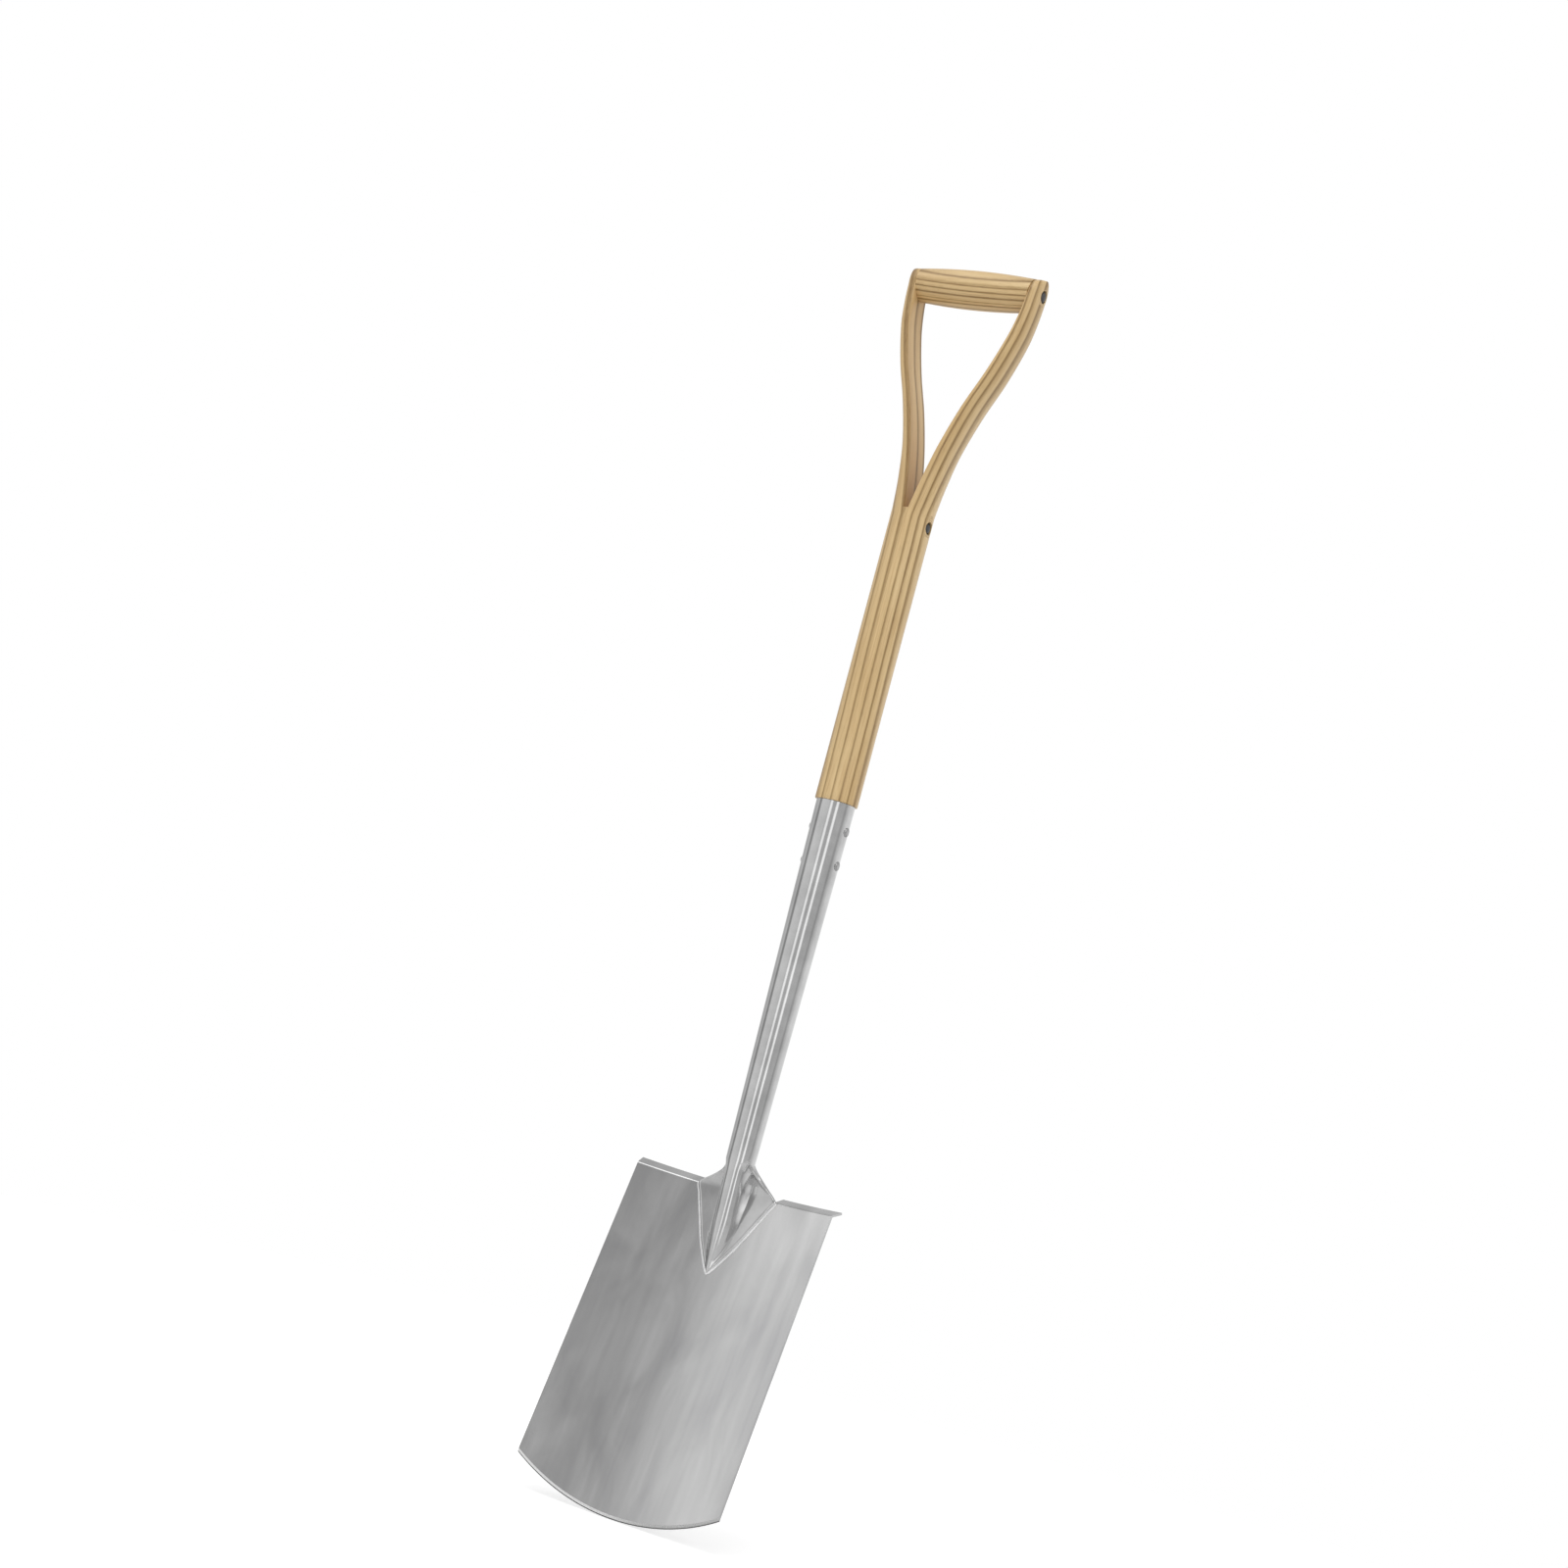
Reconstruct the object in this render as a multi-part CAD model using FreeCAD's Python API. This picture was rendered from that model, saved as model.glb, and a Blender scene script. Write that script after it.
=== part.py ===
import FreeCAD, Part
import math
import os

# Garden spade: a dished stainless blade with folded treads, a tapered steel
# socket that flattens into a V-shaped frog, and a split ash handle that is
# bent into a Y and closed by a turned grip.
# Millimetres. The shaft stands along +Z, X runs across the blade and the
# hollow front of the blade faces -Y. The lowest point of the cutting edge is
# at z = 0, and the origin is under the middle of the bounding box.

# ---- driving dimensions ------------------------------------------------------
TREAD_HALF_WIDTH = 94.4        # blade half width at the tread line
EDGE_HALF_WIDTH = 96.6         # and at the bottom corners
BLADE_SIDE_LENGTH = 262.6      # tread line to the bottom corners
EDGE_ARC_RISE = 25.6           # how far the cutting edge bows below its corners
BLADE_THICKNESS = 2.0
DISH_TOP = 12.5                # depth of the hollow at the tread line
DISH_BOTTOM = 11.2             # depth of the hollow at the bottom corners
BLADE_CRANK = 15.1             # degrees that the blade tips forward of the shaft
BLADE_SETBACK = 10.9           # blade face behind the shaft axis at the tread line
BEVEL_WIDTH = 3.0

TREAD_INNER_X = 36.0
TREAD_FOLD_RADIUS = 1.5        # inside the fold
TREAD_FOLD_ANGLE = 58.0        # degrees turned back from the blade
TREAD_FLAT = 11.5              # straight part of the flange, front to back
TREAD_START = 1.0              # the fold starts this far below the tread line

SOCKET_TOP_RADIUS = 17.1
SOCKET_WALL = 1.5
NECK_RADIUS = 12.8
NECK_HEIGHT = 27.0             # heights are above the tread line
SOCKET_TOP_HEIGHT = 342.0
BORE_FOOT_HEIGHT = 36.0
TENON_FOOT_HEIGHT = 178.0

FROG_SKIN = 1.7                # frog plate above the blade, front and back
FROG_LAP = 4.0                 # how far the neck's foot runs down over the blade
FROG_FOOT_DEPTH = 3.6          # half thickness of the neck's foot

SHAFT_RADIUS = 18.5
KERF_FOOT_HEIGHT = 605.0
KERF_HALF_WIDTH = 1.5
SHAFT_CHAMFER = 0.8
ARM_FULLNESS = 0.87            # below 1, an arm's outer curve is squarer than an ellipse
ARM_CURVE_STEPS = 12

GRIP_HEIGHT = 809.8
GRIP_SETBACK = 8.5             # the Y leans back, so the grip is behind the axis
GRIP_MID_RADIUS = 17.0
GRIP_END_RADIUS = 14.6         # where the barrel meets the arms
GRIP_HALF_LENGTH = 56.0
CROWN_HALF_LENGTH = 72.0       # the arms' ends follow the same barrel outline

RIVET_RADIUS = 2.5
HEAD_RADIUS = 4.1
HEAD_HEIGHT = 1.7
WASHER_RADIUS = 5.4
WASHER_THICKNESS = 1.0
SEAT_RADIUS = 5.7
SOCKET_RIVET_HEIGHTS = (319.0, 289.0)
CROTCH_RIVET_HEIGHT = 591.0
CROTCH_SEAT_X = 15.7           # deep enough to keep the heads inside the shaft's outline
GRIP_SEAT_X = 61.8
SOCKET_HEAD_SINK = 0.6         # the socket rivets' heads start inside the tube's wall

# Arms of the Y: height, inner face, outer face, half depth, lean back.
ARM_STATIONS = (
    (KERF_FOOT_HEIGHT, KERF_HALF_WIDTH, 18.6, 18.45, 0.2),
    (633.0, 7.5, 20.4, 18.5, 1.2),
    (663.0, 14.0, 25.0, 18.6, 2.0),
    (698.0, 24.4, 35.2, 18.6, 3.2),
    (733.0, 37.4, 48.4, 18.2, 5.0),
    (768.0, 47.6, 58.6, 17.4, 6.8),
    (803.0, 52.4, 63.3, 16.5, 8.2),
    (838.0, 55.0, 66.0, 15.6, 9.8),
)

# Rib that runs from the neck down the middle of the V: height, setback of its
# middle, half width, half depth.
RIB_STATIONS = (
    (NECK_HEIGHT, 0.0, 12.7, 12.7),
    (0.0, 2.2, 12.6, 13.7),
    (-31.0, -1.8, 11.6, 8.2),
    (-69.3, -7.6, 1.2, 1.5),
)
# Outline of the V on the blade: distance below the tread line, half width.
FROG_OUTLINE = ((0.0, 37.6), (47.0, 16.3), (70.5, 2.6), (72.6, 0.0))

# ---- values worked out from the ones above -----------------------------------
CRANK = math.radians(BLADE_CRANK)
EDGE_DEPTH = BLADE_SIDE_LENGTH + EDGE_ARC_RISE
TREAD_HEIGHT = EDGE_DEPTH * math.cos(CRANK) + BLADE_THICKNESS * math.sin(CRANK)
FRONT_REACH = EDGE_DEPTH * math.sin(CRANK) - BLADE_SETBACK
CORNER_REACH = (BLADE_SIDE_LENGTH * math.sin(CRANK) - BLADE_SETBACK
                + DISH_BOTTOM * math.cos(CRANK))
BACK_REACH = GRIP_SETBACK + GRIP_MID_RADIUS
SHAFT_Y = (max(FRONT_REACH, CORNER_REACH) - BACK_REACH) / 2
CLEAR = 80.0                   # cutting shapes run this far past the part
X_AXIS = FreeCAD.Vector(1, 0, 0)
Z_AXIS = FreeCAD.Vector(0, 0, 1)


def vec(x, y, z):
    return FreeCAD.Vector(x, y, z)


def placed(shape):
    """Move a shape from the shaft's frame (tread line at z = 0) to the part's frame."""
    moved = shape.copy()
    moved.translate(vec(0, SHAFT_Y, TREAD_HEIGHT))
    return moved


def tilted(shape):
    """Turn a shape from the blade's own upright frame into the cranked blade's place."""
    moved = shape.copy()
    moved.rotate(vec(0, 0, 0), X_AXIS, -BLADE_CRANK)
    moved.translate(vec(0, BLADE_SETBACK, 0))
    return moved


# ---- blade -------------------------------------------------------------------
def dish_depth(below):
    """Depth of the hollow at a distance below the tread line."""
    return DISH_TOP + (DISH_BOTTOM - DISH_TOP) * below / BLADE_SIDE_LENGTH


def half_width(below):
    return TREAD_HALF_WIDTH + (EDGE_HALF_WIDTH - TREAD_HALF_WIDTH) * below / BLADE_SIDE_LENGTH


def dish_radius(below):
    depth = dish_depth(below)
    return half_width(below) ** 2 / (2 * depth) + depth / 2


def sheet_section(below, inner, outer):
    """Section across the dished plate, between two offsets behind its front face."""
    radius = dish_radius(below)
    half_angle = math.asin(half_width(below) / radius)

    def at(offset, angle):
        r = radius + offset
        return vec(r * math.sin(angle), -radius + r * math.cos(angle), -below)

    front = Part.Arc(at(inner, -half_angle), at(inner, 0), at(inner, half_angle)).toShape()
    right = Part.LineSegment(at(inner, half_angle), at(outer, half_angle)).toShape()
    back = Part.Arc(at(outer, half_angle), at(outer, 0), at(outer, -half_angle)).toShape()
    left = Part.LineSegment(at(outer, -half_angle), at(inner, -half_angle)).toShape()
    return Part.Wire([front, right, back, left])


def dished_sheet(top, bottom, inner=0.0, outer=BLADE_THICKNESS):
    """Dished slab between two distances below the tread line and two offsets."""
    sections = [sheet_section(below, inner, outer) for below in (top, bottom)]
    return Part.makeLoft(sections, True, True)


def outline_wire(y):
    """Blade outline in the plane y, which drops towards the back to bevel the edge."""
    sides, outside, top = EDGE_HALF_WIDTH, EDGE_HALF_WIDTH + CLEAR, CLEAR
    slope = BEVEL_WIDTH / BLADE_THICKNESS
    corner_z = -BLADE_SIDE_LENGTH + slope * (BLADE_THICKNESS - DISH_BOTTOM)
    middle_z = -EDGE_DEPTH + slope * BLADE_THICKNESS
    arc = Part.Arc(vec(-sides, y, corner_z), vec(0, y, middle_z), vec(sides, y, corner_z))
    corners = [vec(sides, y, corner_z), vec(outside, y, corner_z), vec(outside, y, top),
               vec(-outside, y, top), vec(-outside, y, corner_z), vec(-sides, y, corner_z)]
    lines = [Part.LineSegment(a, b).toShape() for a, b in zip(corners, corners[1:])]
    wire = Part.Wire([arc.toShape()] + lines)
    wire.translate(vec(0, 0, -slope * y))
    return wire


def outline_prism():
    """Slanted prism that gives the blade its outline, with the sharp edge at the back."""
    reach = DISH_TOP + BLADE_THICKNESS
    return Part.makeLoft([outline_wire(-reach), outline_wire(reach)], True, True)


def make_tread(side):
    """Folded flange on one side, turned about the axis of the blade's dish."""
    radius = dish_radius(TREAD_START)
    fold = math.radians(TREAD_FOLD_ANGLE)
    outer_bend = TREAD_FOLD_RADIUS + BLADE_THICKNESS
    centre = vec(0, outer_bend, -TREAD_START)

    def bend_point(bend, angle):
        return centre + vec(0, -bend * math.cos(angle), bend * math.sin(angle))

    run = vec(0, math.sin(fold), math.cos(fold)) * TREAD_FLAT
    outer_end, inner_end = bend_point(outer_bend, fold), bend_point(TREAD_FOLD_RADIUS, fold)
    wire = Part.Wire([
        Part.Arc(bend_point(outer_bend, 0), bend_point(outer_bend, fold / 2), outer_end).toShape(),
        Part.LineSegment(outer_end, outer_end + run).toShape(),
        Part.LineSegment(outer_end + run, inner_end + run).toShape(),
        Part.LineSegment(inner_end + run, inner_end).toShape(),
        Part.Arc(inner_end, bend_point(TREAD_FOLD_RADIUS, fold / 2),
                 bend_point(TREAD_FOLD_RADIUS, 0)).toShape(),
        Part.LineSegment(bend_point(TREAD_FOLD_RADIUS, 0), bend_point(outer_bend, 0)).toShape(),
    ])
    start = math.degrees(math.asin(TREAD_INNER_X / radius))
    end = math.degrees(math.asin(half_width(TREAD_START) / radius))
    axis_point = vec(0, -radius, 0)
    profile = Part.Face(wire)
    profile.rotate(axis_point, Z_AXIS, -side * start)
    return profile.revolve(axis_point, Z_AXIS, -side * (end - start))


def make_blade():
    plate = dished_sheet(TREAD_START, EDGE_DEPTH + 2 * BEVEL_WIDTH).common(outline_prism())
    blade = plate.fuse([make_tread(-1), make_tread(1)]).removeSplitter()
    return tilted(blade)


# ---- socket and frog ---------------------------------------------------------
def neck_radius_at(height):
    taper = (SOCKET_TOP_RADIUS - NECK_RADIUS) / (SOCKET_TOP_HEIGHT - NECK_HEIGHT)
    return NECK_RADIUS + taper * (height - NECK_HEIGHT)


def oval(height, setback, half_width, half_depth):
    """Level oval, as one closed wire that starts at +X."""
    if half_width >= half_depth:
        curve = Part.Ellipse(vec(0, 0, 0), half_width, half_depth)
        shape = curve.toShape()
    else:
        curve = Part.Ellipse(vec(0, 0, 0), half_depth, half_width)
        shape = curve.toShape()
        shape.rotate(vec(0, 0, 0), Z_AXIS, 90)
    shape.translate(vec(0, setback, height))
    return Part.Wire([shape])


def make_frog_plate():
    """V-shaped plate that wraps both faces of the blade, in the blade's upright frame."""
    right = [vec(width, -CLEAR, -below) for below, width in FROG_OUTLINE]
    left = [vec(-point.x, point.y, point.z) for point in reversed(right[:-1])]
    prism = Part.Face(Part.makePolygon(right + left + right[:1])).extrude(vec(0, 2 * CLEAR, 0))
    wrap = dished_sheet(0, 2 * FROG_OUTLINE[-1][0], -FROG_SKIN, BLADE_THICKNESS + FROG_SKIN)
    return wrap.common(prism)


def make_socket(blade):
    """Tapered tube whose foot flattens into the V that holds the blade."""
    tube = Part.makeCone(NECK_RADIUS, SOCKET_TOP_RADIUS, SOCKET_TOP_HEIGHT - NECK_HEIGHT,
                         vec(0, 0, NECK_HEIGHT))
    foot = oval(-FROG_LAP, BLADE_SETBACK, FROG_OUTLINE[0][1] - FROG_LAP / 2, FROG_FOOT_DEPTH)
    shoulders = Part.makeLoft([oval(NECK_HEIGHT, 0, NECK_RADIUS, NECK_RADIUS), foot], True, True)
    rib = Part.makeLoft([oval(*station) for station in RIB_STATIONS], True, True)
    body = tube.fuse([shoulders, rib, tilted(make_frog_plate())])
    bore = Part.makeCone(neck_radius_at(BORE_FOOT_HEIGHT) - SOCKET_WALL,
                         SOCKET_TOP_RADIUS - SOCKET_WALL,
                         SOCKET_TOP_HEIGHT - BORE_FOOT_HEIGHT, vec(0, 0, BORE_FOOT_HEIGHT))
    return body.cut([bore, blade] + socket_rivet_holes())


# ---- handle ------------------------------------------------------------------
def outer_section(height, inner, outer, half_depth, lean):
    """Outline round both arms: flat between them and rounded on the outside."""
    fullness = ARM_FULLNESS if inner > 2 * KERF_HALF_WIDTH else 1.0

    def rounded_side(side):
        points = []
        for i in range(ARM_CURVE_STEPS + 1):
            angle = math.pi * (0.5 - i / ARM_CURVE_STEPS) * side
            across, along = max(0.0, math.cos(angle)), math.sin(angle)
            x = inner + (outer - inner) * across ** fullness
            y = half_depth * math.copysign(abs(along) ** fullness, along) + lean
            points.append(vec(side * x, y, height))
        curve = Part.BSplineCurve()
        curve.interpolate(points)
        return points, curve.toShape()

    right_points, right = rounded_side(1)
    left_points, left = rounded_side(-1)
    front = Part.LineSegment(right_points[-1], left_points[0]).toShape()
    back = Part.LineSegment(left_points[-1], right_points[0]).toShape()
    return Part.Wire([right, front, left, back])


def hand_gap():
    """Prism between the arms, with the square foot of the saw kerf."""
    right = [vec(inner, -CLEAR, height) for height, inner, _, _, _ in ARM_STATIONS]
    left = [vec(-point.x, point.y, point.z) for point in reversed(right)]
    edges = []
    for points in (right, left):
        curve = Part.BSplineCurve()
        curve.interpolate(points)
        edges.append(curve.toShape())
    top = Part.LineSegment(right[-1], left[0]).toShape()
    foot = Part.LineSegment(left[-1], right[0]).toShape()
    face = Part.Face(Part.Wire([edges[0], top, edges[1], foot]))
    return face.extrude(vec(0, 2 * CLEAR, 0))


def make_barrel(half_length):
    """Barrel about the grip's axis, with one outline for the grip and the arms' ends."""
    bulge = GRIP_MID_RADIUS - (GRIP_MID_RADIUS - GRIP_END_RADIUS) * (
        half_length / GRIP_HALF_LENGTH) ** 2
    outline = Part.Arc(vec(-half_length, 0, bulge), vec(0, 0, GRIP_MID_RADIUS),
                       vec(half_length, 0, bulge)).toShape()
    corners = [vec(half_length, 0, bulge), vec(half_length, 0, 0),
               vec(-half_length, 0, 0), vec(-half_length, 0, bulge)]
    lines = [Part.LineSegment(a, b).toShape() for a, b in zip(corners, corners[1:])]
    barrel = Part.Face(Part.Wire([outline] + lines)).revolve(vec(0, 0, 0), X_AXIS, 360)
    barrel.translate(vec(0, GRIP_SETBACK, GRIP_HEIGHT))
    return barrel


def make_arms():
    hull = Part.makeLoft([outer_section(*station) for station in ARM_STATIONS], True, False)
    below_grip = Part.makeBox(2 * CLEAR, 2 * CLEAR, GRIP_HEIGHT - KERF_FOOT_HEIGHT,
                              vec(-CLEAR, -CLEAR, KERF_FOOT_HEIGHT))
    crown = make_barrel(CROWN_HALF_LENGTH)
    return hull.common(below_grip.fuse(crown)).cut(hand_gap())


def rivet_seats(height, setback, seat_x):
    """Shank hole along X, with a flat seat for a washer on each side."""
    holes = [Part.makeCylinder(RIVET_RADIUS, 2 * CLEAR, vec(-CLEAR, setback, height), X_AXIS)]
    for side in (-1, 1):
        holes.append(Part.makeCylinder(SEAT_RADIUS, CLEAR, vec(side * seat_x, setback, height),
                                       X_AXIS * side))
    return holes


def make_handle():
    shaft = Part.makeCylinder(SHAFT_RADIUS, KERF_FOOT_HEIGHT - SOCKET_TOP_HEIGHT,
                              vec(0, 0, SOCKET_TOP_HEIGHT))
    foot_rim = [e for e in shaft.Edges if e.BoundBox.ZMax < SOCKET_TOP_HEIGHT + 1
                and e.BoundBox.XLength > 1]
    shaft = shaft.makeChamfer(SHAFT_CHAMFER, foot_rim)
    tenon = Part.makeCone(neck_radius_at(TENON_FOOT_HEIGHT) - SOCKET_WALL,
                          SOCKET_TOP_RADIUS - SOCKET_WALL,
                          SOCKET_TOP_HEIGHT - TENON_FOOT_HEIGHT, vec(0, 0, TENON_FOOT_HEIGHT))
    handle = shaft.fuse([tenon, make_arms()])
    for height, setback, seat_x in ((CROTCH_RIVET_HEIGHT, 0, CROTCH_SEAT_X),
                                    (GRIP_HEIGHT, GRIP_SETBACK, GRIP_SEAT_X)):
        handle = handle.cut(rivet_seats(height, setback, seat_x))
    return handle.cut(socket_rivet_holes())


def make_grip(handle):
    """Turned barrel that fills the gap between the arms."""
    bore = Part.makeCylinder(RIVET_RADIUS, 2 * GRIP_HALF_LENGTH,
                             vec(-GRIP_HALF_LENGTH, GRIP_SETBACK, GRIP_HEIGHT), X_AXIS)
    pieces = make_barrel(GRIP_HALF_LENGTH).cut([bore, handle])
    return max(pieces.Solids, key=lambda solid: solid.Volume)


# ---- rivets and washers ------------------------------------------------------
def socket_rivet_holes():
    return [Part.makeCylinder(RIVET_RADIUS, 2 * CLEAR, vec(-CLEAR, 0, height), X_AXIS)
            for height in SOCKET_RIVET_HEIGHTS]


def dome_head(seat_x, side):
    """Domed rivet head whose flat side stands on seat_x."""
    bulge = (HEAD_RADIUS ** 2 + HEAD_HEIGHT ** 2) / (2 * HEAD_HEIGHT)
    ball = Part.makeSphere(bulge, vec(side * (seat_x + HEAD_HEIGHT - bulge), 0, 0))
    disc = Part.makeCylinder(HEAD_RADIUS + 1, HEAD_HEIGHT + 1, vec(side * seat_x, 0, 0),
                             X_AXIS * side)
    return ball.common(disc)


def make_rivet(height, setback, seat_x, solids):
    """Rivet along X with a domed head against the seat on each side."""
    shank = Part.makeCylinder(RIVET_RADIUS, 2 * seat_x, vec(-seat_x, 0, 0), X_AXIS)
    rivet = shank.fuse([dome_head(seat_x, -1), dome_head(seat_x, 1)]).removeSplitter()
    rivet.translate(vec(0, setback, height))
    return rivet.cut(solids) if solids else rivet


def make_washer(height, setback, seat_x, side):
    centre = vec(side * seat_x, setback, height)
    disc = Part.makeCylinder(WASHER_RADIUS, WASHER_THICKNESS, centre, X_AXIS * side)
    hole = Part.makeCylinder(RIVET_RADIUS, WASHER_THICKNESS, centre, X_AXIS * side)
    return disc.cut(hole)


# ---- assembly ----------------------------------------------------------------
def build():
    blade = make_blade()
    socket = make_socket(blade)
    handle = make_handle()
    parts = {
        "blade": blade,
        "socket": socket,
        "handle_shaft": handle,
        "grip": make_grip(handle),
        "grip_rivet": make_rivet(GRIP_HEIGHT, GRIP_SETBACK,
                                 GRIP_SEAT_X + WASHER_THICKNESS, []),
        "crotch_rivet": make_rivet(CROTCH_RIVET_HEIGHT, 0,
                                   CROTCH_SEAT_X + WASHER_THICKNESS, []),
    }
    for side, word in ((-1, "left"), (1, "right")):
        parts["grip_washer_" + word] = make_washer(GRIP_HEIGHT, GRIP_SETBACK, GRIP_SEAT_X, side)
        parts["crotch_washer_" + word] = make_washer(CROTCH_RIVET_HEIGHT, 0, CROTCH_SEAT_X, side)
    for height, word in zip(SOCKET_RIVET_HEIGHTS, ("upper", "lower")):
        head_seat = neck_radius_at(height) - SOCKET_HEAD_SINK
        parts["socket_rivet_" + word] = make_rivet(height, 0, head_seat, [socket])
    return {name: placed(shape) for name, shape in parts.items()}


def main():
    os.makedirs("parts", exist_ok=True)
    for name, shape in build().items():
        print(name, "solids", len(shape.Solids), "valid", shape.isValid(),
              "volume", round(shape.Volume, 1))
        shape.exportStep("parts/" + name + ".step")


main()
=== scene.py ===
import math

import bmesh
import bpy
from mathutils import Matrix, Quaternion, Vector


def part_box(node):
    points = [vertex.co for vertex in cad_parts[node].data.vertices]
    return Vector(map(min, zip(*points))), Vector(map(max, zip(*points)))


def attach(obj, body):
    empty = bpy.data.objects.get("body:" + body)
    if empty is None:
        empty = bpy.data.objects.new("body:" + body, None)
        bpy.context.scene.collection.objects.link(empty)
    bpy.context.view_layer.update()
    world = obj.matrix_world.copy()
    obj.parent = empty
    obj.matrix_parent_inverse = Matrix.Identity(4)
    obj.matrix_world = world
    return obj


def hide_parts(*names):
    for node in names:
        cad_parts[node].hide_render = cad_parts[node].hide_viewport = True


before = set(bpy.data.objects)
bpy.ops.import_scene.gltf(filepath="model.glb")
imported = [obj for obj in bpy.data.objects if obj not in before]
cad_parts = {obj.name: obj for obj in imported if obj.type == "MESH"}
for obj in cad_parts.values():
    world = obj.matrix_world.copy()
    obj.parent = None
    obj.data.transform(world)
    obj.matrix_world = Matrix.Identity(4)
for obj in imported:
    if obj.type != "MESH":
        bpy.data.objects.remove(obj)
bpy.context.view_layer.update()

# Garden spade in a plain pale studio. Lengths are in millimetres, and places are
# in the shaft's own frame until a mesh is made: the shaft's axis is x = y = 0,
# the tread line is z = 0, and -y is the hollow front of the blade.

MM = 0.001
CROTCH_RIVET_HEIGHT = 591.0


def shaft_origin():
    """Where the shaft's own frame sits in the part's frame, in metres."""
    low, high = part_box("crotch_rivet")
    middle = (low + high) / 2
    return Vector((0.0, middle.y, middle.z - CROTCH_RIVET_HEIGHT * MM))


ORIGIN = shaft_origin()

# ---- the spade's dimensions --------------------------------------------------
# They are the CAD's, with four differences: the saw kerf's foot is wider and deeper, the
# arms are shallower from front to back towards the grip, the socket rivets' heads stand
# further out, and the V has rolled edges.
TREAD_HALF_WIDTH = 94.4
EDGE_HALF_WIDTH = 96.6
SIDE_LENGTH = 262.6            # from the tread line to the blade's lower corners
EDGE_ARC_RISE = 25.6           # of the cutting edge's middle past its corners
PLATE = 2.0
DISH_TOP = 12.5                # depth of the blade's hollow at the treads
DISH_BOTTOM = 11.2
CRANK = math.radians(15.1)     # tilt of the blade, whose edge is ahead of its treads
SETBACK = 10.9                 # of the blade's front behind the shaft's axis, at z = 0
BEVEL = 3.0
EDGE_LAND = 0.9                # darker strip of the bevel along the cutting edge, its dark grey painted shade
TREAD_INNER_X = 36.0
TREAD_START = 1.0
FOLD_RADIUS = 1.5
FOLD_ANGLE = math.radians(58.0)
TREAD_FLAT = 11.5

SOCKET_TOP = 342.0
SOCKET_TOP_RADIUS = 17.1
SOCKET_WALL = 1.5
NECK = 27.0                    # height where the round tube ends
NECK_RADIUS = 12.8
V_DEPTH = 72.6                 # of the V's tip, down the blade

SHAFT_RADIUS = 18.5
KERF_FOOT = 602.5
GRIP_HEIGHT = 809.8
GRIP_SETBACK = 8.5
GRIP_MID_RADIUS = 17.0
GRIP_END_RADIUS = 14.6
ARM_END_RADIUS = 14.5
ARM_END_INNER_LEAN = 0.075     # outward lean of the arms' faces above the grip's axis
ARM_END_OUTER_LEAN = 0.04
ARM_CORNER_CUT = 1.4           # how far the arms' top outer corners are rounded off

HEAD_RADIUS = 4.1
HEAD_HEIGHT = 1.7
HEAD_RIM = 0.25                # upright rim under the dome
HEAD_FOOT = 0.4                # how far the head reaches into what it sits on
HAMMER_FLAT = 0.05
SHANK_RADIUS = 2.5
WASHER_RADIUS = 5.4
WASHER_THICKNESS = 1.0
SEAT_RADIUS = 5.7
CROTCH_SEAT_X = 15.7
GRIP_SEAT_X = 61.8
SOCKET_HEAD_SINK = 0.1
SOCKET_RIVET_HEIGHTS = {"upper": 319.0, "lower": 289.0}

# Arms of the Y: height, inner face, outer face, half depth, lean back.
ARM_STATIONS = (
    (KERF_FOOT, 2.3, SHAFT_RADIUS, SHAFT_RADIUS, 0.0),
    (633.0, 7.5, 20.4, 18.5, 1.2),
    (663.0, 14.0, 25.0, 18.6, 2.0),
    (698.0, 24.4, 35.2, 18.5, 3.2),
    (733.0, 37.4, 48.4, 18.0, 5.0),
    (768.0, 47.6, 58.6, 16.8, 6.8),
    (790.0, 51.3, 62.2, 15.4, 7.8),
    (GRIP_HEIGHT, 53.0, 63.8, ARM_END_RADIUS, GRIP_SETBACK),
)
# The neck and the V on the blade, from the round tube down to the V's tip:
# height above the tread line (below it, distance down the blade), setback of
# the slab's middle, half width, radius of the rolled edge, front web above the
# roll's crest, then the rib's half width and its level behind.
FROG_STATIONS = (
    (NECK, 0.0, NECK_RADIUS, NECK_RADIUS, 0.0, NECK_RADIUS, NECK_RADIUS),
    (22.5, 5.0, 14.6, 8.0, -4.0, 12.7, 8.2),
    (17.5, 9.2, 18.6, 4.6, -1.6, 12.6, 5.2),
    (13.5, 10.8, 22.8, 3.6, -1.0, 12.6, 4.4),
    (8.5, 11.5, 28.8, 3.0, -0.6, 12.6, 4.2),
    (4.0, 11.7, 34.4, 2.8, -0.2, 12.6, 4.6),
    (0.0, 11.4, 37.6, 2.7, 0.2, 12.6, 5.0),
    (-8.0, 9.79, 34.0, 2.7, 0.2, 12.6, 5.7),
    (-17.0, 7.44, 30.0, 2.7, 0.2, 12.4, 6.1),
    (-32.0, 3.53, 23.2, 2.7, 0.0, 12.0, 5.9),
    (-47.0, -0.38, 16.3, 2.7, 0.0, 9.6, 5.1),
    (-59.0, -3.50, 9.6, 2.7, 0.0, 6.2, 4.2),
    (-67.0, -5.59, 4.8, 2.7, 0.0, 3.2, 3.4),
    (-V_DEPTH, -7.05, 1.0, 2.4, 0.0, 0.7, 2.7),
)
CREST_SLOPE = 0.040            # the rib's crest drops back this much per millimetre


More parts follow.
